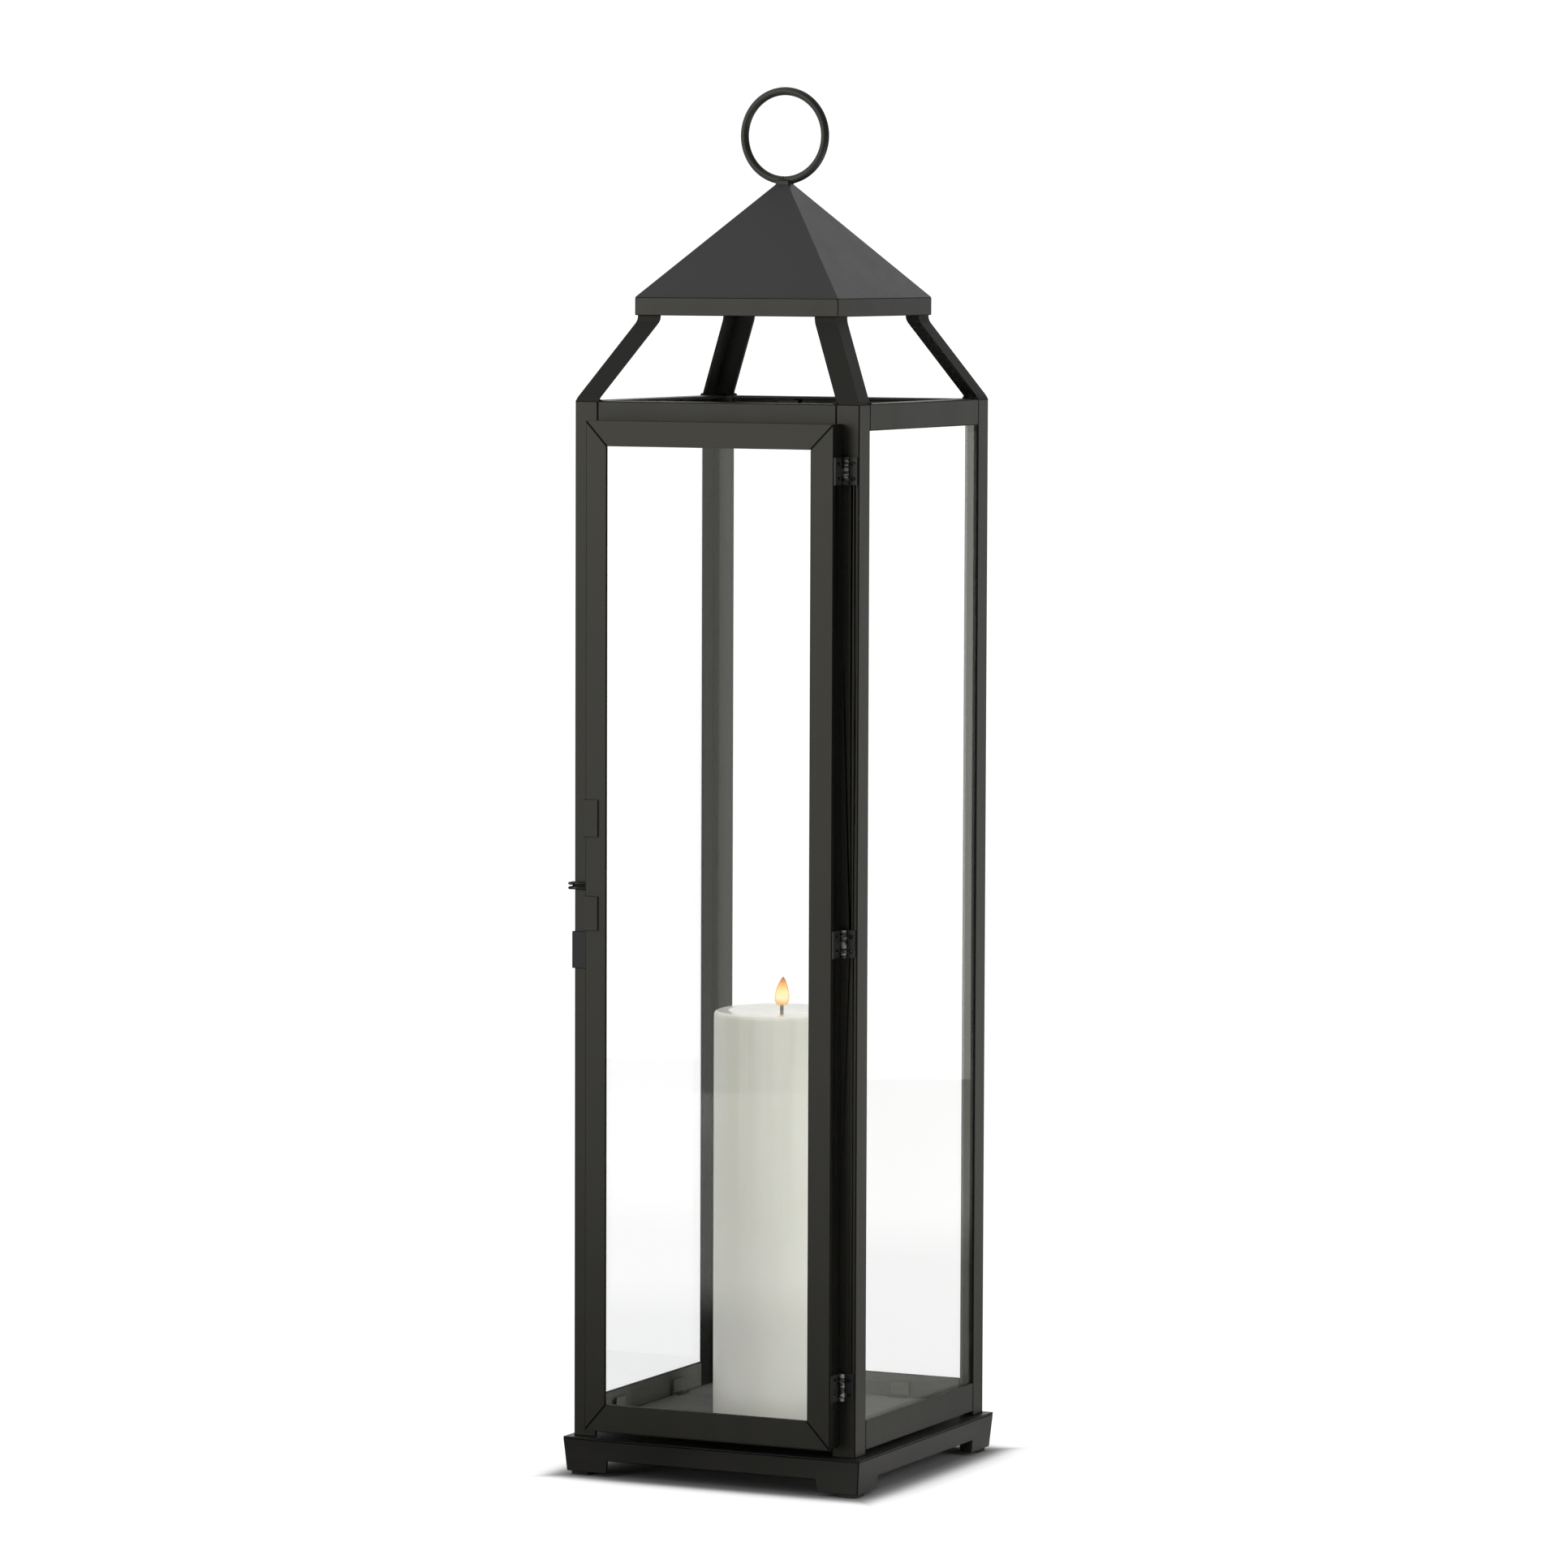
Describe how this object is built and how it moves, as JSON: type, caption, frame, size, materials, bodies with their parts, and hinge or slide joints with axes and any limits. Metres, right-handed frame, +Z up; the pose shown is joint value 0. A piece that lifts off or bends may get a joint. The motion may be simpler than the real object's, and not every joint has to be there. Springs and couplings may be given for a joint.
{
  "type": "candle lantern",
  "caption": "Tall square candle lantern: black angle-steel cage with glass sides, a hinged glass door with a wire latch, an open neck, a pyramid roof with a hanging ring, and a pillar candle.",
  "frame": {"origin": "centre of the square base on the plane of the feet", "axes": "+Z up through the hanging ring, the door faces -Y, and its hinges are on the +X side"},
  "size_m": [0.182, 0.191, 0.7721],
  "materials": {
    "black_coated_steel": "satin",
    "clear_glass": "clear",
    "foot_rubber": "matt",
    "dark_bare_steel": "satin",
    "ivory_wax": "waxy",
    "cotton_wick": "charred"
  },
  "bodies": {
    "cage": {"base_plate": "black_coated_steel", "skirt_front": "black_coated_steel", "skirt_right": "black_coated_steel", "skirt_back": "black_coated_steel", "skirt_left": "black_coated_steel", "floor_plate": "black_coated_steel", "post_front_left": "black_coated_steel", "post_front_right": "black_coated_steel", "post_back_right": "black_coated_steel", "post_back_left": "black_coated_steel", "low_rail_front": "black_coated_steel", "low_rail_right": "black_coated_steel", "low_rail_back": "black_coated_steel", "low_rail_left": "black_coated_steel", "top_rail_front": "black_coated_steel", "top_rail_right": "black_coated_steel", "top_rail_back": "black_coated_steel", "top_rail_left": "black_coated_steel", "pane_clips": "black_coated_steel", "strut_front_left": "black_coated_steel", "strut_front_right": "black_coated_steel", "strut_back_right": "black_coated_steel", "strut_back_left": "black_coated_steel", "rim_front": "black_coated_steel", "rim_right": "black_coated_steel", "rim_back": "black_coated_steel", "rim_left": "black_coated_steel", "roof_front": "black_coated_steel", "roof_right": "black_coated_steel", "roof_back": "black_coated_steel", "roof_left": "black_coated_steel", "roof_neck": "black_coated_steel", "hanging_ring": "black_coated_steel", "post_leaves": "black_coated_steel", "latch_keeper": "black_coated_steel", "corner_feet": "foot_rubber", "pane_right": "clear_glass", "pane_back": "clear_glass", "pane_left": "clear_glass", "post_rivets": "dark_bare_steel", "hinge_pins": "dark_bare_steel"},
    "door": {"door_stile_latch": "black_coated_steel", "door_stile_hinge": "black_coated_steel", "door_rail_low": "black_coated_steel", "door_rail_top": "black_coated_steel", "door_glass_clips": "black_coated_steel", "door_leaves": "black_coated_steel", "latch_tab_low": "black_coated_steel", "latch_tab_up": "black_coated_steel", "door_glass": "clear_glass", "door_rivets": "dark_bare_steel"},
    "latch": {"latch_wire": "dark_bare_steel"},
    "candle": {"candle": "ivory_wax", "wick": "cotton_wick"}
  },
  "joints": [
    {"name": "door_swing", "type": "hinge", "parent": "cage", "child": "door", "pos_m": [0.0792, -0.0887, 0.305], "axis": [0, 0, 1], "range_deg": [0, 95]},
    {"name": "latch_turn", "type": "hinge", "parent": "door", "child": "latch", "pos_m": [-0.0755, -0.0888, 0.325], "axis": [0, 0, 1], "range_deg": [0, 90]},
    {"name": "candle_lift", "type": "slide", "parent": "cage", "child": "candle", "axis": [0, 0, 1], "range_m": [0, 0.25]}
  ]
}
